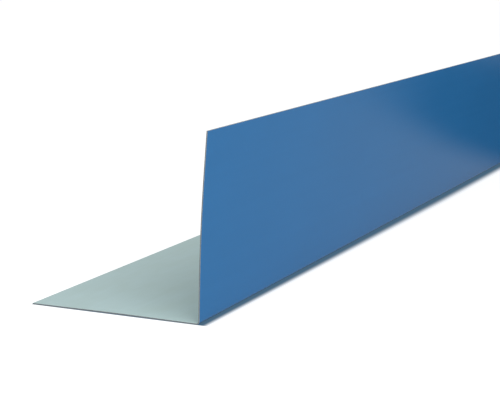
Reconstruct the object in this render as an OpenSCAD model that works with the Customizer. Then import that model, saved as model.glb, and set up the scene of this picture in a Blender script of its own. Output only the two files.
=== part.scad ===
// Corner flashing: one strip of prepainted steel sheet, folded once along its length.
// The section lies in X and Z and the length runs along Y, in millimetres.
// The level leg lies on the ground and points to -X, and the upright leg stands at +X.
// The origin is on the underside of the level leg, halfway along the length
// and halfway between the leg's free edge and the outer corner of the fold.

/* [Stock] */
// Length of the flashing, sheared square at both ends
stock_length = 2000; // [500:50:3000]
// Thickness of the sheet with its coatings
sheet_t = 0.6; // [0.4:0.05:1.2]
// Colour of the painted outer face
paint = "#3F71A2"; // [#3F71A2:Blue, #8A3A2B:Oxide red, #3E5E43:Green, #8F9495:Grey, #F0EFEA:White]

/* [Legs] */
// Width of the level leg on its outer face, from the free edge to the outer corner
level_w = 100; // [50:5:200]
// Width of the upright leg on its outer face, from the outer corner to the free edge
upright_w = 100; // [50:5:200]

/* [Fold] */
// Outer radius of the fold
fold_r = 2; // [1.5:0.25:6]
// Spring-back, in degrees: how far the upright leg opens past square where it leaves the fold
spring_back = 1; // [0:0.25:4]
// Bow, in degrees: how far the upright leg turns outwards between the fold and its free edge
bow = 3.5; // [0.5:0.25:6]

/* [Hidden] */
// Flat steps that draw the two curved stretches of the section
fold_steps = 24;
bow_steps = 14;

// The fold turns the sheet through a right angle, less what springs back.
fold_turn = 90 - spring_back;
// Distance from the outer corner to where either leg leaves the fold
setback = fold_r * tan(fold_turn / 2);
// The upright leg is an arc of large radius, curved the other way from the fold.
bow_r = (upright_w - setback) * 180 / (PI * bow);

// Stations along a curved stretch, each as [x, z, heading in degrees].
// The stretch starts at a station and turns through an angle: to the left with a positive
// radius and turn, and to the right with a negative radius and turn.
function curved(start, radius, turn, steps) = [
    for (step = [1:steps])
        let (heading = start[2] + turn * step / steps)
        [
            start[0] + radius * (sin(heading) - sin(start[2])),
            start[1] + radius * (cos(start[2]) - cos(heading)),
            heading
        ]
];

// Place of a station, moved to the left of its heading, which is towards the inner face
function beside(station, distance) =
    [station[0], station[1]] + distance * [-sin(station[2]), cos(station[2])];

// The outer face, walked from the free edge of the level leg to the free edge of the upright leg
level_edge = [-level_w / 2, 0, 0];
fold_start = [level_w / 2 - setback, 0, 0];
fold_stations = curved(fold_start, fold_r, fold_turn, fold_steps);
upright_stations = curved(fold_stations[fold_steps - 1], -bow_r, -bow, bow_steps);
outer_face = concat([level_edge, fold_start], fold_stations, upright_stations);

module section() {
    last = len(outer_face) - 1;
    polygon(concat(
        [for (i = [0:last]) beside(outer_face[i], 0)],
        [for (i = [last:-1:0]) beside(outer_face[i], sheet_t)]
    ));
}

module folded_sheet() {
    color(paint)
        rotate([90, 0, 0])
            linear_extrude(stock_length, center = true)
                section();
}

folded_sheet();
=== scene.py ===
# %% [markdown]
# # Corner flashing
# The real object is one strip of prepainted steel sheet, folded once along its length on a
# press brake. One leg lies flat with its grey-green backing coat up, and the other stands at
# its edge with its blue paint outwards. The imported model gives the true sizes, so it is
# loaded first and never changed, and everything below is measured from it. The waves that the
# sheet gets later tip its cut faces by about a thousandth of a millimetre, so the strip starts
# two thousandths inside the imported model's box, and never leaves it.

import math

import bmesh
import bpy
from mathutils import Matrix, Vector


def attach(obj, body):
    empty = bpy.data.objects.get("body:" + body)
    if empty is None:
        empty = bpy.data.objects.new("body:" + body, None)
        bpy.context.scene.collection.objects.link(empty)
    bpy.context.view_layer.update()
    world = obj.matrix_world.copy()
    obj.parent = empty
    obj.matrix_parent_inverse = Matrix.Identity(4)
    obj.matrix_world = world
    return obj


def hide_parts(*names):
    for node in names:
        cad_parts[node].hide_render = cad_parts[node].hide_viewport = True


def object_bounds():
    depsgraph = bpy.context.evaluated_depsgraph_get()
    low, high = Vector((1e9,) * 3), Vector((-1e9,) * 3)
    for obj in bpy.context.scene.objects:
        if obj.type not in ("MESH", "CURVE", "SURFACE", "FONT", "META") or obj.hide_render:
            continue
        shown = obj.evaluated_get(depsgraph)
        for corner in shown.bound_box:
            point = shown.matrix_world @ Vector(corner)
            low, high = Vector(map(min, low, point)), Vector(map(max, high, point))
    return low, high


ROOM_FOR_TIPPING = 0.000002

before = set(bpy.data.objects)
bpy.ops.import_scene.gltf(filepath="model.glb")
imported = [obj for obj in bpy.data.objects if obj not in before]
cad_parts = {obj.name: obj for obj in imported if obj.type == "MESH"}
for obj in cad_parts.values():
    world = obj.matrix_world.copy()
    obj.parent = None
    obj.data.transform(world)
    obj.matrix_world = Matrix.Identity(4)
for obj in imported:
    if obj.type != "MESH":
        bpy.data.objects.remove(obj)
cad_low, cad_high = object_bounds()
near_end, far_end = cad_low.y + ROOM_FOR_TIPPING, cad_high.y - ROOM_FOR_TIPPING
stock_length = far_end - near_end
print("CAD box, mm:", [round(1000 * side, 1) for side in cad_high - cad_low])

# %% [markdown]
# ## Sizes
# A folded sheet has few sizes: the legs, the sheet, the fold's outer radius, and two small
# angles. Spring-back is how far the fold opens again once the press lets go, and bow is how
# far the standing leg curls outwards over its height. All other places follow from these.

# %% Sizes in metres and radians
LEG = 0.100
SHEET = 0.0006
FOLD_RADIUS = 0.002
SPRING_BACK = math.radians(1.0)
BOW = math.radians(3.5)

fold_turn = math.pi / 2 - SPRING_BACK
setback = FOLD_RADIUS * math.tan(fold_turn / 2)
bow_radius = (LEG - setback) / BOW
free_edge_x = cad_low.x + ROOM_FOR_TIPPING
outer_corner_x = free_edge_x + LEG
fold_line = Vector((outer_corner_x - setback, 0, FOLD_RADIUS))
out_of_upright = Vector((math.cos(SPRING_BACK), 0, -math.sin(SPRING_BACK)))
bow_line = fold_line + (FOLD_RADIUS + bow_radius) * out_of_upright
print(f"the upright leg bows on a radius of {bow_radius:.2f} m")

# %% [markdown]
# ## Camera
# The camera comes first, because it decides how much detail each face needs. The long lens
# is given by its focal length in picture widths, and the camera is placed from the near
# outer corner of the flashing, so that it keeps its view if the stock gets longer.

# %% Camera
PICTURE_WIDTH = 500
FOCAL_PIXELS = 1420.3
YAW, PITCH, ROLL = math.radians(24.402), math.radians(10.231), math.radians(0.268)
FROM_NEAR_CORNER = Vector((0.3124, -0.6270, 0.1912))

near_corner = Vector((outer_corner_x, near_end, 0))
bpy.ops.object.camera_add(location=near_corner + FROM_NEAR_CORNER)
camera = bpy.context.object
camera.name = "camera"
camera.data.lens = FOCAL_PIXELS / PICTURE_WIDTH * camera.data.sensor_width
turn = Matrix.Rotation(YAW, 3, "Z") @ Matrix.Rotation(math.pi / 2 - PITCH, 3, "X")
camera.rotation_euler = (turn @ Matrix.Rotation(ROLL, 3, "Z")).to_euler()
bpy.context.scene.camera = camera
print(f"lens {camera.data.lens:.1f} mm")

# %% [markdown]
# ## Working in edit mode from code
# An operator acts on what is selected, so three helpers do the selecting. The first makes
# one piece the active object. The second selects vertices by their place, as dragging a box
# round them would. The third selects edges by a test, such as whether they run along an axis.
# Places are compared with a hair's breadth of room, because they are never quite exact.

# %% Helpers for selecting
HAIR = 0.000001
MOSTLY = 0.9


def only(piece):
    """Makes this piece the only one selected, and the one that operators act on."""
    bpy.ops.object.select_all(action="DESELECT")
    piece.select_set(True)
    bpy.context.view_layer.objects.active = piece


def select_where(piece, wanted):
    """In edit mode, selects the vertices whose place is wanted."""
    bpy.context.tool_settings.mesh_select_mode = (True, False, False)
    bpy.ops.mesh.select_all(action="DESELECT")
    mesh = bmesh.from_edit_mesh(piece.data)
    for vertex in mesh.verts:
        vertex.select = wanted(vertex.co)
    mesh.select_flush(True)
    bmesh.update_edit_mesh(piece.data)


def select_edges(piece, wanted):
    """In edit mode, selects the edges that are wanted, and says how many."""
    bpy.context.tool_settings.mesh_select_mode = (False, True, False)
    bpy.ops.mesh.select_all(action="DESELECT")
    mesh = bmesh.from_edit_mesh(piece.data)
    found = [edge for edge in mesh.edges if wanted(edge)]
    for edge in found:
        edge.select_set(True)
    bmesh.update_edit_mesh(piece.data)
    return len(found)


def runs_along(axis):
    """A test for edges that run mostly along the axis X, Y or Z."""
    number = "XYZ".index(axis)
    return lambda edge: abs((edge.verts[1].co - edge.verts[0].co)[number]) > MOSTLY * edge.calc_length()


# %% [markdown]
# ## The level leg
# The sheet is modelled as the real one is made: the outer face starts as a flat strip, and
# it gets its folds next and its thickness last. That way the thickness stays even round the
# fold, which is hard to get when a solid block is cut to shape. The start is a plane.

# %% Level leg
LEVEL_COLUMNS = 14

level_width = fold_line.x - free_edge_x
bpy.ops.object.select_all(action="DESELECT")
bpy.ops.mesh.primitive_plane_add(size=1, location=(free_edge_x + level_width / 2, 0, 0))
sheet = bpy.context.object
sheet.name = "sheet_steel"
bpy.ops.transform.resize(value=(level_width, stock_length, 1))
bpy.ops.object.transform_apply(location=True, rotation=True, scale=True)
bpy.ops.object.mode_set(mode="EDIT")
select_edges(sheet, runs_along("X"))
bpy.ops.mesh.subdivide(number_cuts=LEVEL_COLUMNS - 1)
print(f"level leg, flat part: {1000 * level_width:.2f} mm")

# %% [markdown]
# ## The fold and the bowed leg
# A press brake turns the strip about a line, and Spin does the same: it sweeps the selected
# edge about an axis. The first spin makes the tight fold. The second turns back about a
# line over a metre and a half away, which gives the upright leg its slight outward bow.

# %% Fold and upright leg
FOLD_STEPS = 24
BOW_STEPS = 28

select_where(sheet, lambda place: place.x > fold_line.x - HAIR)
bpy.ops.mesh.spin(steps=FOLD_STEPS, angle=fold_turn, center=fold_line, axis=(0, 1, 0))
top_of_fold = FOLD_RADIUS - FOLD_RADIUS * math.cos(fold_turn)
select_where(sheet, lambda place: place.z > top_of_fold - HAIR)
bpy.ops.mesh.spin(steps=BOW_STEPS, angle=BOW, center=bow_line, axis=(0, -1, 0))
bpy.ops.object.mode_set(mode="OBJECT")
top = max(vertex.co.z for vertex in sheet.data.vertices)
print(f"upright leg reaches {1000 * top:.2f} mm, the CAD model {1000 * cad_high.z:.2f} mm")

# %% [markdown]
# ## Rows along the length
# So far every face runs the whole length. Subdividing the long edges gives the strip rows
# across it, which it needs before it can be made slightly uneven, as thin sheet is.

# %% Rows along the length
ROWS = 100

bpy.ops.object.mode_set(mode="EDIT")
select_edges(sheet, runs_along("Y"))
bpy.ops.mesh.subdivide(number_cuts=ROWS - 1)
bpy.ops.mesh.select_all(action="SELECT")
bpy.ops.mesh.remove_doubles(threshold=HAIR)
bpy.ops.mesh.flip_normals()
bpy.ops.object.mode_set(mode="OBJECT")
print("faces of the outer surface:", len(sheet.data.polygons))

# %% [markdown]
# ## A measure across the strip
# The wear along the fold and the edges and the marks of the shear follow the sheet round its
# fold, so the materials need to know where they are on the flat strip. Each vertex gets its
# distance from the level leg's free edge, measured along the sheet, as an attribute that
# shader nodes can read.

# %% Measure across the strip
strip_width = level_width + FOLD_RADIUS * fold_turn + bow_radius * BOW
fold_middle = level_width + FOLD_RADIUS * fold_turn / 2


def across_strip(place):
    """Distance from the level leg's free edge to a place on the outer face, along the sheet."""
    if place.z < HAIR:
        return place.x - free_edge_x
    if place.z < top_of_fold + HAIR:
        turned = math.atan2(place.x - fold_line.x, FOLD_RADIUS - place.z)
        return level_width + FOLD_RADIUS * turned
    turned = math.atan2(place.z - bow_line.z, bow_line.x - place.x) - SPRING_BACK
    return level_width + FOLD_RADIUS * fold_turn + bow_radius * turned


across = sheet.data.attributes.new("across", "FLOAT", "POINT")
for vertex in sheet.data.vertices:
    across.data[vertex.index].value = across_strip(vertex.co)
widest = max(point.value for point in across.data)
print(f"strip {1000 * strip_width:.2f} mm wide before folding, widest vertex {1000 * widest:.2f} mm")

# %% [markdown]
# ## Waves in the sheet
# Thin sheet is never quite flat between its edges. A Displace modifier with a cloudy texture
# moves the middle of each leg by a few tenths of a millimetre. The fold and the free edges
# are stiff and were sheared straight, so a vertex group keeps them still. The sheet only
# moves inwards, which keeps it inside the CAD model's box.

# %% Waves
WAVE_HEIGHT = 0.0005
WAVE_LENGTH = 0.16


def finish_modifier(piece, modifier):
    """Applies a modifier, so that the mesh itself holds the shape."""
    only(piece)
    bpy.ops.object.modifier_apply(modifier=modifier.name)


def slack(distance):
    """How freely the sheet waves there: 0 at the fold and the free edges, 1 in mid-leg."""
    level = distance < fold_middle
    share = distance / fold_middle if level else (strip_width - distance) / (strip_width - fold_middle)
    return math.sin(math.pi * min(1, max(0, share))) ** 2


free_to_wave = sheet.vertex_groups.new(name="free_to_wave")
for vertex in sheet.data.vertices:
    free_to_wave.add([vertex.index], slack(across_strip(vertex.co)), "REPLACE")
clouds = bpy.data.textures.new("sheet_waves", "CLOUDS")
clouds.noise_scale = WAVE_LENGTH
waves = sheet.modifiers.new("waves", "DISPLACE")
waves.texture = clouds
waves.texture_coords = "LOCAL"
waves.vertex_group = free_to_wave.name
waves.mid_level = 0
waves.strength = -WAVE_HEIGHT
finish_modifier(sheet, waves)
lift = max(vertex.co.z for vertex in sheet.data.vertices if vertex.co.x < fold_line.x - HAIR)
print(f"the level leg lifts by up to {1000 * lift:.2f} mm")

# %% [markdown]
# ## Thickness
# Solidify gives the surface its 0.6 mm. It grows on the inner side only, so that the outer
# face stays where the CAD model has it. It also sorts the faces into material slots: paint
# outside, backing coat inside, and bare cut steel round the rim. A second attribute says how
# deep a vertex is in the sheet, from 0 on the painted side to 1 on the backing side. Applying
# a modifier makes a new mesh, so the vertex group is looked up again by its name.

# %% Thickness
PAINT, BACKING, CUT = 0, 1, 2

for slot in (PAINT, BACKING, CUT):
    sheet.data.materials.append(None)
sheet.vertex_groups.new(name="inner_side")
thicken = sheet.modifiers.new("thickness", "SOLIDIFY")
thicken.thickness = SHEET
thicken.offset = -1
thicken.use_even_offset = True
thicken.use_quality_normals = True
thicken.material_offset = BACKING
thicken.material_offset_rim = CUT
thicken.shell_vertex_group = "inner_side"
finish_modifier(sheet, thicken)

inner_index = sheet.vertex_groups["inner_side"].index
depth = sheet.data.attributes.new("depth", "FLOAT", "POINT")
for vertex in sheet.data.vertices:
    is_inner = any(entry.group == inner_index for entry in vertex.groups)
    depth.data[vertex.index].value = 1 if is_inner else 0
inner_share = sum(point.value for point in depth.data) / len(sheet.data.vertices)
print("faces with thickness:", len(sheet.data.polygons), "inner share of vertices:", inner_share)

# %% [markdown]
# ## Sheared edges
# A shear presses the sheet's skin over before it cuts, so the painted side ends in a small
# round, and the other side ends in a nearly sharp one. Bevel makes both, on the edges where
# a coat meets the cut steel, and the coats run over the rounds as the real ones do.

# %% Sheared edges
ROLLED_OVER, ROLLED_STEPS = 0.00012, 3
SHARP, SHARP_STEPS = 0.00004, 2


def parts_slots(first, second):
    """A test for edges where faces of two material slots meet."""
    return lambda edge: {face.material_index for face in edge.link_faces} == {first, second}


bpy.ops.object.mode_set(mode="EDIT")
for coat, size, steps in ((PAINT, ROLLED_OVER, ROLLED_STEPS), (BACKING, SHARP, SHARP_STEPS)):
    edges = select_edges(sheet, parts_slots(coat, CUT))
    bpy.ops.mesh.bevel(offset=size, segments=steps, affect="EDGES", material=coat)
    print(f"{edges} edges rounded by {1000 * size:.2f} mm")
bpy.ops.object.mode_set(mode="OBJECT")

# %% [markdown]
# ## Shading the sheet
# The fold should look round and the faces flat. Smooth shading by angle does the first, and
# a Weighted Normal modifier the second: it lets the large faces decide the normals, so the
# tiny rounds at the edges don't bend the light across a whole leg.

# %% Shading
SMOOTH_BELOW = math.radians(40)

only(sheet)
bpy.ops.object.shade_smooth_by_angle(angle=SMOOTH_BELOW)
weighted = sheet.modifiers.new("weighted", "WEIGHTED_NORMAL")
weighted.keep_sharp = True
finish_modifier(sheet, weighted)
sheet.vertex_groups.clear()
print("modifiers left:", len(sheet.modifiers))

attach(sheet, "root")
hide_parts("folded_sheet")

# %% [markdown]
# ## Building node trees from code
# A material is a small machine of nodes. The first helper adds one node, sets it up, and
# sets or links its inputs, so that a tree reads from top to bottom. The next three add the
# nodes that come up most: a sum, a mixed colour, and a value spread over another range.

# %% Helpers for nodes
def add(tree, kind, inputs=None, **settings):
    """Adds a node and sets it up. An input that is given a socket is linked to it."""
    node = tree.nodes.new("ShaderNode" + kind)
    for name, value in settings.items():
        setattr(node, name, value)
    for name, value in (inputs or {}).items():
        if isinstance(value, bpy.types.NodeSocket):
            tree.links.new(value, node.inputs[name])
        else:
            node.inputs[name].default_value = value
    return node


def math_node(tree, operation, first, second=0.0, clamp=False):
    """Adds a Math node and gives back its result."""
    node = add(tree, "Math", {0: first, 1: second}, operation=operation, use_clamp=clamp)
    return node.outputs[0]


def mix_colour(tree, factor, first, second):
    """Mixes two colours and gives back the result."""
    node = add(tree, "Mix", {"Factor": factor, "A": first, "B": second}, data_type="RGBA")
    return node.outputs["Result"]


def spread(tree, value, low, high, start=0.0, end=1.0, curve="LINEAR"):
    """Gives low where the value is at its start, high where it is at its end, and between."""
    node = add(tree, "MapRange", {
        "Value": value, "From Min": start, "From Max": end, "To Min": low, "To Max": high},
        interpolation_type=curve)
    return node.outputs[0]


# %% [markdown]
# ## Groups and materials
# A node group is a reusable effect with named inputs and outputs, used like a tool in each
# material. It only gives masks and heights, and the shader stays in the material itself. A
# new material starts with that one shader, and a Bump node gives it its small relief.

# %% Helpers for groups and materials
def new_group(name, inputs, outputs):
    """Starts a node group with number sockets, and gives it with its two end nodes."""
    group = bpy.data.node_groups.new(name, "ShaderNodeTree")
    for label, value in inputs.items():
        socket = group.interface.new_socket(label, in_out="INPUT", socket_type="NodeSocketFloat")
        socket.default_value = value
    for label in outputs:
        group.interface.new_socket(label, in_out="OUTPUT", socket_type="NodeSocketFloat")
    return group, group.nodes.new("NodeGroupInput"), group.nodes.new("NodeGroupOutput")


def new_material(name):
    """Starts a material, and gives it with its node tree and its shader."""
    material = bpy.data.materials.new(name)
    material.use_nodes = True
    tree = material.node_tree
    return material, tree, tree.nodes["Principled BSDF"]


def give_relief(tree, shader, height, depth):
    """Turns a height from 0 to 1 into a relief of that depth in metres."""
    bump = add(tree, "Bump", {"Strength": 1.0, "Distance": depth, "Height": height})
    tree.links.new(bump.outputs["Normal"], shader.inputs["Normal"])


# %% [markdown]
# ## Effect: marks of the rolls
# Sheet is rolled and then coated by rollers, so its faint marks all run along the strip. A
# noise does this when its space is squeezed: long along Y, and narrow across. The group
# takes the length and width of a mark in metres and gives a mask round one half. A helper
# makes the mask, because the patches of the next effect are made of the same nodes.

# %% Roll marks
def soft_mask(group, start, size, detail, roughness):
    """Nodes for a mask round one half: a noise with blotches of this size, shifted aside."""
    place = add(group, "TexCoord").outputs["Object"]
    squeezed = add(group, "VectorMath", {0: place, 1: size.outputs[0]}, operation="DIVIDE")
    moved = add(group, "VectorMath", {0: squeezed.outputs[0], 1: start.outputs["Shift"]}, operation="ADD")
    noise = add(group, "TexNoise", {
        "Vector": moved.outputs[0], "Scale": 1.0, "Detail": detail, "Roughness": roughness})
    centred = math_node(group, "SUBTRACT", noise.outputs["Fac"], 0.5)
    stronger = math_node(group, "MULTIPLY", centred, start.outputs["Contrast"])
    return math_node(group, "ADD", stronger, 0.5, clamp=True)


def make_roll_marks():
    """Group: soft streaks along the strip."""
    group, start, end = new_group(
        "roll_marks", {"Length": 0.4, "Width": 0.004, "Shift": 0.0, "Contrast": 1.0}, ["Streak"])
    width = start.outputs["Width"]
    size = add(group, "CombineXYZ", {"X": width, "Y": start.outputs["Length"], "Z": width})
    group.links.new(soft_mask(group, start, size, detail=4.0, roughness=0.6), end.inputs["Streak"])
    return group


roll_marks = make_roll_marks()
print("group:", roll_marks.name)

# %% [markdown]
# ## Effect: cloudy patches
# A thin coat is never equally thick, which shows as soft patches a few centimetres wide.
# The group is a plain noise whose size is given in metres, drawn out a little along the
# strip, as the coat was pulled that way while it was wet.

# %% Cloudy patches
DRAWN_OUT = 2.5


def make_patches():
    """Group: soft irregular patches."""
    group, start, end = new_group("cloudy_patches", {"Size": 0.03, "Shift": 0.0, "Contrast": 1.0}, ["Patch"])
    width = start.outputs["Size"]
    length = math_node(group, "MULTIPLY", width, DRAWN_OUT)
    size = add(group, "CombineXYZ", {"X": width, "Y": length, "Z": width})
    group.links.new(soft_mask(group, start, size, detail=2.0, roughness=0.5), end.inputs["Patch"])
    return group


cloudy_patches = make_patches()
print("group:", cloudy_patches.name)

# %% [markdown]
# ## Effect: the skin of a stoved coat
# Paint that was stoved on a moving strip keeps a very fine waviness, called orange peel.
# Two noises give it, one at the size of the ripples and one finer. The group gives a height
# that a Bump node turns into normals, a few thousandths of a millimetre high.

# %% Skin of the coats
GRAIN_IN_RIPPLE = 4.7


def make_skin():
    """Group: the ripples of a coat, as a height from 0 to 1."""
    group, start, end = new_group("coat_skin", {"Ripple": 0.002, "Grain": 0.3}, ["Height"])
    place = add(group, "TexCoord").outputs["Object"]
    coarse = math_node(group, "DIVIDE", 1.0, start.outputs["Ripple"])
    fine = math_node(group, "MULTIPLY", coarse, GRAIN_IN_RIPPLE)
    ripples = add(group, "TexNoise", {"Vector": place, "Scale": coarse, "Detail": 1.0})
    grain = add(group, "TexNoise", {"Vector": place, "Scale": fine, "Detail": 2.0})
    blend = add(group, "Mix", {
        "Factor": start.outputs["Grain"], "A": ripples.outputs["Fac"], "B": grain.outputs["Fac"]})
    group.links.new(blend.outputs["Result"], end.inputs["Height"])
    return group


coat_skin = make_skin()
print("group:", coat_skin.name)

# %% [markdown]
# ## Effect: where the coats are strained or rubbed
# Two places on a folded sheet differ from the rest. Along the fold the coat is stretched,
# and next to a sheared edge it is chipped and rubbed. The group measures how far both are,
# with the attribute across the strip and the place along it, and gives a mask for each. A
# fine noise makes the border of the chips ragged.

# %% Strain and rubbing
CHIPS_PER_METRE = 900.0


def make_wear():
    """Group: masks for the stretched fold and for the rubbed edges."""
    group, start, end = new_group(
        "strain_and_rubbing", {"Fold Reach": 0.002, "Edge Reach": 0.0005}, ["Fold", "Edge"])
    measure = add(group, "Attribute", attribute_name="across").outputs["Fac"]
    place = add(group, "TexCoord").outputs["Object"]
    along = add(group, "SeparateXYZ", {0: place}).outputs["Y"]
    from_fold = math_node(group, "ABSOLUTE", math_node(group, "SUBTRACT", measure, fold_middle))
    fold_share = math_node(group, "DIVIDE", from_fold, start.outputs["Fold Reach"])
    group.links.new(math_node(group, "SUBTRACT", 1.0, fold_share, clamp=True), end.inputs["Fold"])

    other_edge = math_node(group, "SUBTRACT", strip_width, measure)
    end_gap = math_node(group, "SUBTRACT", stock_length / 2, math_node(group, "ABSOLUTE", along))
    gap = math_node(group, "MINIMUM", math_node(group, "MINIMUM", measure, other_edge), end_gap)
    reach = start.outputs["Edge Reach"]
    noise = add(group, "TexNoise", {"Vector": place, "Scale": CHIPS_PER_METRE, "Detail": 3.0})
    twice_reach = math_node(group, "MULTIPLY", reach, 2.0)
    ragged = math_node(group, "MULTIPLY", noise.outputs["Fac"], twice_reach)
    nearer = math_node(group, "SUBTRACT", ragged, gap)
    group.links.new(math_node(group, "DIVIDE", nearer, reach, clamp=True), end.inputs["Edge"])
    return group


strain_and_rubbing = make_wear()
print("group:", strain_and_rubbing.name)

# %% [markdown]
# ## Finish: blue paint on the outer face
# This is a stoved polyester paint with a fair gloss. Its blue is deep, and what makes it look
# a little paler, more so at a flat angle, is the room that it mirrors. Patches and roll marks
# vary its colour and its roughness by a few hundredths, the fold is a little paler where the
# paint is stretched, and chips at the sheared edges show the primer.

# %% Blue paint
PAINT_DEEP = (0.0108, 0.1495, 0.3810, 1)
PAINT_LIGHT = (0.0132, 0.1667, 0.4215, 1)
PAINT_STRETCHED = (0.020, 0.182, 0.445, 1)
PRIMER = (0.30, 0.31, 0.29, 1)
PAINT_ROUGHNESS = 0.14, 0.19
ROUGHER_CHIPS = 0.2
PAINT_GLOSS = 0.5
PAINT_RELIEF = 0.000006


def make_paint():
    """Material of the outer face."""
    material, tree, shader = new_material("stoved_blue_paint")
    streak = add(tree, "Group", {"Length": 0.5, "Width": 0.006, "Contrast": 1.4}, node_tree=roll_marks)
    patch = add(tree, "Group", {"Size": 0.045, "Contrast": 1.8, "Shift": 3.0}, node_tree=cloudy_patches)
    wear = add(tree, "Group", {"Fold Reach": 0.0022, "Edge Reach": 0.0002}, node_tree=strain_and_rubbing)
    skin = add(tree, "Group", {"Ripple": 0.0022, "Grain": 0.25}, node_tree=coat_skin)

    tone = math_node(tree, "MULTIPLY", math_node(tree, "ADD", streak.outputs[0], patch.outputs[0]), 0.5)
    colour = mix_colour(tree, tone, PAINT_DEEP, PAINT_LIGHT)
    strained = math_node(tree, "MULTIPLY", wear.outputs["Fold"], streak.outputs[0])
    folded = mix_colour(tree, strained, colour, PAINT_STRETCHED)
    chipped = mix_colour(tree, wear.outputs["Edge"], folded, PRIMER)
    tree.links.new(chipped, shader.inputs["Base Color"])

    even = spread(tree, tone, *PAINT_ROUGHNESS)
    dulled = math_node(tree, "MULTIPLY", wear.outputs["Edge"], ROUGHER_CHIPS)
    tree.links.new(math_node(tree, "ADD", even, dulled), shader.inputs["Roughness"])
    give_relief(tree, shader, skin.outputs["Height"], PAINT_RELIEF)
    shader.inputs["Specular IOR Level"].default_value = PAINT_GLOSS
    return material


sheet.data.materials[PAINT] = make_paint()
print("finish:", sheet.data.materials[PAINT].name)

# %% [markdown]
# ## Finish: backing coat on the inner face
# The inner face only gets a thin, matt backing coat. It lets the grey of the zinc through
# unevenly, so its patches are stronger than the paint's, and they lean to green or to blue.
# Fine roll marks run along it, and it has next to no gloss.

# %% Backing coat
BACKING_DARK = (0.398, 0.542, 0.531, 1)
BACKING_LIGHT = (0.466, 0.616, 0.631, 1)
BACKING_RUBBED = (0.52, 0.57, 0.57, 1)
STREAK_SHARE, PATCH_SHARE = 0.4, 0.6
RUBBED_AT_FOLD = 0.5
BACKING_ROUGHNESS = 0.50, 0.62
BACKING_GLOSS = 0.3
BACKING_RELIEF = 0.000010


def make_backing():
    """Material of the inner face."""
    material, tree, shader = new_material("grey_green_backing")
    streak = add(tree, "Group", {
        "Length": 0.25, "Width": 0.0025, "Contrast": 1.6, "Shift": 7.0}, node_tree=roll_marks)
    patch = add(tree, "Group", {"Size": 0.016, "Contrast": 2.4, "Shift": 5.0}, node_tree=cloudy_patches)
    wear = add(tree, "Group", {"Fold Reach": 0.0012, "Edge Reach": 0.0003}, node_tree=strain_and_rubbing)
    skin = add(tree, "Group", {"Ripple": 0.0011, "Grain": 0.6}, node_tree=coat_skin)

    streaks = math_node(tree, "MULTIPLY", streak.outputs[0], STREAK_SHARE)
    patches = math_node(tree, "MULTIPLY", patch.outputs[0], PATCH_SHARE)
    tone = math_node(tree, "ADD", streaks, patches)
    colour = mix_colour(tree, tone, BACKING_DARK, BACKING_LIGHT)
    at_fold = math_node(tree, "MULTIPLY", wear.outputs["Fold"], RUBBED_AT_FOLD)
    worn = math_node(tree, "MAXIMUM", wear.outputs["Edge"], at_fold)
    tree.links.new(mix_colour(tree, worn, colour, BACKING_RUBBED), shader.inputs["Base Color"])

    tree.links.new(spread(tree, tone, *BACKING_ROUGHNESS), shader.inputs["Roughness"])
    give_relief(tree, shader, skin.outputs["Height"], BACKING_RELIEF)
    shader.inputs["Specular IOR Level"].default_value = BACKING_GLOSS
    return material


sheet.data.materials[BACKING] = make_backing()
print("finish:", sheet.data.materials[BACKING].name)

# %% [markdown]
# ## Finish: cut steel
# A sheared edge has two bands. The blade burnishes about two fifths of the thickness, which
# are bright and scored across, and the rest breaks away dull and grainy. The depth attribute
# gives the bands, and a noise on the place along the edge gives the score marks, because
# that place is the same all through the thickness.

# %% Cut steel
BURNISHED = (0.270, 0.295, 0.310, 1)
BROKEN = (0.170, 0.190, 0.200, 1)
BAND_DEPTH = 0.15, 0.65
BAND_WAVES, SCORE_MARKS, STEEL_GRAINS = 260.0, 5200.0, 16000.0
BAND_CRISPNESS = 12.0
MARK_SHADES = 0.75, 1.15
NOISE_REACH = 0.3, 0.7
STEEL_ROUGHNESS = 0.38, 0.70
STEEL_METALLIC = 0.85
STEEL_RELIEF = 0.000008


def fine_noise(tree, place, per_metre):
    """A fine noise with this many blotches to the metre."""
    return add(tree, "TexNoise", {"Vector": place, "Scale": per_metre, "Detail": 2.0}).outputs["Fac"]


def scaled(tree, colour, factor):
    """Makes a colour brighter or darker by a factor."""
    node = add(tree, "VectorMath", {0: colour}, operation="SCALE")
    tree.links.new(factor, node.inputs["Scale"])
    return node.outputs[0]


def make_cut():
    """Material of the sheared edges."""
    material, tree, shader = new_material("sheared_steel")
    measure = add(tree, "Attribute", attribute_name="across").outputs["Fac"]
    deep = add(tree, "Attribute", attribute_name="depth").outputs["Fac"]
    place = add(tree, "TexCoord").outputs["Object"]
    along = add(tree, "SeparateXYZ", {0: place}).outputs["Y"]
    on_edge = add(tree, "CombineXYZ", {"X": measure, "Y": along}).outputs[0]

    limit = spread(tree, fine_noise(tree, on_edge, BAND_WAVES), *BAND_DEPTH)
    past = math_node(tree, "SUBTRACT", deep, limit)
    broken = math_node(tree, "MULTIPLY", past, BAND_CRISPNESS, clamp=True)
    scores = fine_noise(tree, on_edge, SCORE_MARKS)
    grains = fine_noise(tree, place, STEEL_GRAINS)
    marks = add(tree, "Mix", {"Factor": broken, "A": scores, "B": grains}).outputs["Result"]
    shade = spread(tree, marks, *MARK_SHADES, *NOISE_REACH)
    bands = mix_colour(tree, broken, BURNISHED, BROKEN)
    tree.links.new(scaled(tree, bands, shade), shader.inputs["Base Color"])

    tree.links.new(spread(tree, broken, *STEEL_ROUGHNESS), shader.inputs["Roughness"])
    give_relief(tree, shader, marks, STEEL_RELIEF)
    shader.inputs["Metallic"].default_value = STEEL_METALLIC
    return material


sheet.data.materials[CUT] = make_cut()
print("finish:", sheet.data.materials[CUT].name)

# %% [markdown]
# ## Contact shade
# Where the steel meets the floor, the picture has a narrow dark line. It is drawn on the
# floor as a rim round the flashing's footprint, thin at the edges of the level leg, and wide
# along the fold, where the upright leg hides half of the sky. Along the fold it widens for
# the first part of the stock, so that it looks equally wide in the picture.

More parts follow.
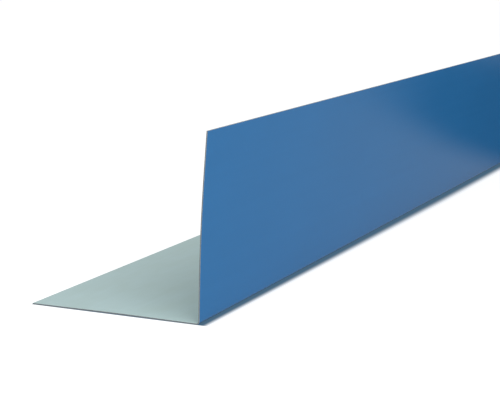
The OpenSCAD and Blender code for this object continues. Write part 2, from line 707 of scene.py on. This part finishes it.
# %% Contact shade
RIM_AT_EDGES = 0.0008
RIM_AT_FOLD_NEAR, RIM_AT_FOLD_FAR = 0.0056, 0.0120
RIM_WIDENS_OVER = 0.4
RIM_CORE = 0.2


def contact_rim(tree):
    """A mask that is 1 at the flashing's footprint and falls to 0 within the rim."""
    place = add(tree, "SeparateXYZ", {0: add(tree, "TexCoord").outputs["Object"]}).outputs
    rim_at_fold = spread(
        tree, place["Y"], RIM_AT_FOLD_NEAR, RIM_AT_FOLD_FAR, near_end, near_end + RIM_WIDENS_OVER)
    from_fold = math_node(tree, "SUBTRACT", place["X"], outer_corner_x)
    from_edge = math_node(tree, "SUBTRACT", free_edge_x, place["X"])
    from_end = math_node(tree, "SUBTRACT", math_node(tree, "ABSOLUTE", place["Y"]), stock_length / 2)
    past_fold = math_node(tree, "DIVIDE", from_fold, rim_at_fold)
    past_edge = math_node(tree, "DIVIDE", from_edge, RIM_AT_EDGES)
    past_end = math_node(tree, "DIVIDE", from_end, RIM_AT_EDGES)
    outside = math_node(tree, "MAXIMUM", past_fold, math_node(tree, "MAXIMUM", past_edge, past_end))
    return spread(tree, outside, 1.0, 0.0, RIM_CORE, 1.0, "SMOOTHSTEP")


rims = (RIM_AT_EDGES, RIM_AT_FOLD_NEAR, RIM_AT_FOLD_FAR)
print("width of the contact shade, mm:", [round(1000 * rim, 1) for rim in rims])

# %% [markdown]
# ## Floor
# The background of the picture is white, but a floor that is lit until it is white would
# flood the object too. So the floor is a plain pale grey to the light that falls on the
# object, and only the rays that go straight to the eye, or there by a reflection, see it
# raised to white. They still see its shade. Light that the floor throws back feels only part
# of the contact shade, so that the paint above it stays bright.

# %% Floor
FLOOR_SIZE = 80
FLOOR_GREY = 0.8
SEEN_SHADE = 0.45
SEEN_GLOW = 0.725
UNSHADED = (1, 1, 1, 1)
CONTACT_SHADE = (0.066, 0.132, 0.198, 1)
CONTACT_IN_BOUNCED_LIGHT = 0.4


def seen_by_eye(tree):
    """A mask that is 1 for camera, glossy and transmission rays, and 0 for other light."""
    path = add(tree, "LightPath").outputs
    mirrored = math_node(tree, "MAXIMUM", path["Is Glossy Ray"], path["Is Transmission Ray"])
    return math_node(tree, "MAXIMUM", path["Is Camera Ray"], mirrored)


def make_floor():
    """Material of the floor: grey to the light, and raised to white for the eye."""
    material, tree, shader = new_material("pale_floor")
    tree.nodes.remove(shader)
    seen = seen_by_eye(tree)
    share = spread(tree, seen, CONTACT_IN_BOUNCED_LIGHT, 1.0)
    shaded = math_node(tree, "MULTIPLY", contact_rim(tree), share)
    touch = mix_colour(tree, shaded, UNSHADED, CONTACT_SHADE)
    grey = scaled(tree, touch, spread(tree, seen, FLOOR_GREY, SEEN_SHADE))
    diffuse = add(tree, "BsdfDiffuse", {"Color": grey})
    glow = add(tree, "Emission", {"Color": touch, "Strength": math_node(tree, "MULTIPLY", seen, SEEN_GLOW)})
    both = add(tree, "AddShader", {0: diffuse.outputs[0], 1: glow.outputs[0]})
    tree.links.new(both.outputs[0], tree.nodes["Material Output"].inputs["Surface"])
    return material


bpy.ops.object.select_all(action="DESELECT")
bpy.ops.mesh.primitive_plane_add(size=FLOOR_SIZE, location=(0, 0, 0))
floor = bpy.context.object
floor.name = "floor"
floor.data.materials.append(make_floor())
print("floor:", floor.data.materials[0].name)

# %% [markdown]
# ## Studio light
# The room is a bright tent: a plain white world that lights the object evenly from all
# sides. The eye sees it as white, at a strength of 1. One large soft lamp stands to the
# right of the camera. It lights the blue face and leaves a soft shade on the level leg
# behind the fold, and it is near enough to fade along the stock.

# %% World and lamp
TENT_LIGHT = 0.62
LAMP_SIZE = 1.2
LAMP_POWER = 14.5
LAMP_FROM_CORNER = Vector((1.0, -0.65, 1.05))
LAMP_AIM_FROM_CORNER = Vector((0, 0.1, 0.05))

world = bpy.data.worlds.new("studio")
bpy.context.scene.world = world
world.use_nodes = True
sky = world.node_tree
background = sky.nodes["Background"]
background.inputs["Color"].default_value = (1, 1, 1, 1)
sky.links.new(spread(sky, seen_by_eye(sky), TENT_LIGHT, 1.0), background.inputs["Strength"])

bpy.ops.object.light_add(type="AREA", location=near_corner + LAMP_FROM_CORNER)
lamp = bpy.context.object
lamp.name = "soft_lamp"
lamp.data.shape = "SQUARE"
lamp.data.size = LAMP_SIZE
lamp.data.energy = LAMP_POWER
aim = near_corner + LAMP_AIM_FROM_CORNER - lamp.location
lamp.rotation_euler = aim.to_track_quat("-Z", "Y").to_euler()
bpy.context.scene.view_settings.view_transform = "Standard"
print(f"lamp {aim.length:.2f} m from the near end")

# %% [markdown]
# ## A card for the reflection
# Glossy paint shows what it mirrors, and a white floor would turn the whole blue face pale. So
# a mid-grey card lies beside the flashing, as in a photographer's studio. It is a painted
# reflection: it glows evenly, though it is no lamp, and only reflections see it. One part of
# it is darker, to paint a darker reflection on the far upper part of the face. That part has
# two soft, straight borders towards the near end, between three places measured from the near
# corner, and fades out along the stock.

# %% Card
CARD_TONE = 0.30
DARK_TONE = 0.034
CARD_HEIGHT = 0.0008
CARD_START, CARD_END = -0.0003, 1.5
CARD_MARGIN = 1.0
DARK_BORDER = [(0.030, 0.631), (0.160, 0.764), (0.520, 1.797)]
BORDER_SOFTNESS = 0.050
FADE_START, FADE_END = 1.15, 1.75


def left_of(tree, place, first, second):
    """A soft mask: 1 to the left of a line through two places on the floor, 0 to its right."""
    along_line = (Vector(second) - Vector(first)).normalized()
    left = Vector((-along_line.y, along_line.x, 0))
    line = (near_corner + Vector((*first, 0))).dot(left)
    distance = add(tree, "VectorMath", {0: place, 1: left}, operation="DOT_PRODUCT").outputs["Value"]
    start, end = line - BORDER_SOFTNESS, line + BORDER_SOFTNESS
    return spread(tree, distance, 0.0, 1.0, start, end, "SMOOTHSTEP")


def make_card():
    """Material of the card, a painted reflection: an even glow with a darker part."""
    material, tree, shader = new_material("grey_card")
    tree.nodes.remove(shader)
    place = add(tree, "TexCoord").outputs["Object"]
    masks = [left_of(tree, place, *ends) for ends in zip(DARK_BORDER, DARK_BORDER[1:])]
    along = add(tree, "SeparateXYZ", {0: place}).outputs["Y"]
    fade = spread(tree, along, 1.0, 0.0, near_end + FADE_START, near_end + FADE_END, "SMOOTHSTEP")
    # The darker part paints a darker reflection on the far upper part of the blue face.
    dark = math_node(tree, "MULTIPLY", math_node(tree, "MULTIPLY", *masks), fade)
    tone = spread(tree, dark, CARD_TONE, DARK_TONE)
    glow = add(tree, "Emission", {"Color": (1, 1, 1, 1), "Strength": tone})
    tree.links.new(glow.outputs[0], tree.nodes["Material Output"].inputs["Surface"])
    return material


card_middle = outer_corner_x + (CARD_START + CARD_END) / 2
card_length = stock_length + 2 * CARD_MARGIN
bpy.ops.object.select_all(action="DESELECT")
bpy.ops.mesh.primitive_plane_add(size=1, location=(card_middle, 0, CARD_HEIGHT))
card = bpy.context.object
card.name = "grey_card"
bpy.ops.transform.resize(value=(CARD_END - CARD_START, card_length, 1))
bpy.ops.object.transform_apply(location=True, rotation=True, scale=True)
for kind in ("camera", "diffuse", "transmission", "volume_scatter", "shadow"):
    setattr(card, "visible_" + kind, False)
card.data.materials.append(make_card())
print("card:", [round(side, 3) for side in card.dimensions])
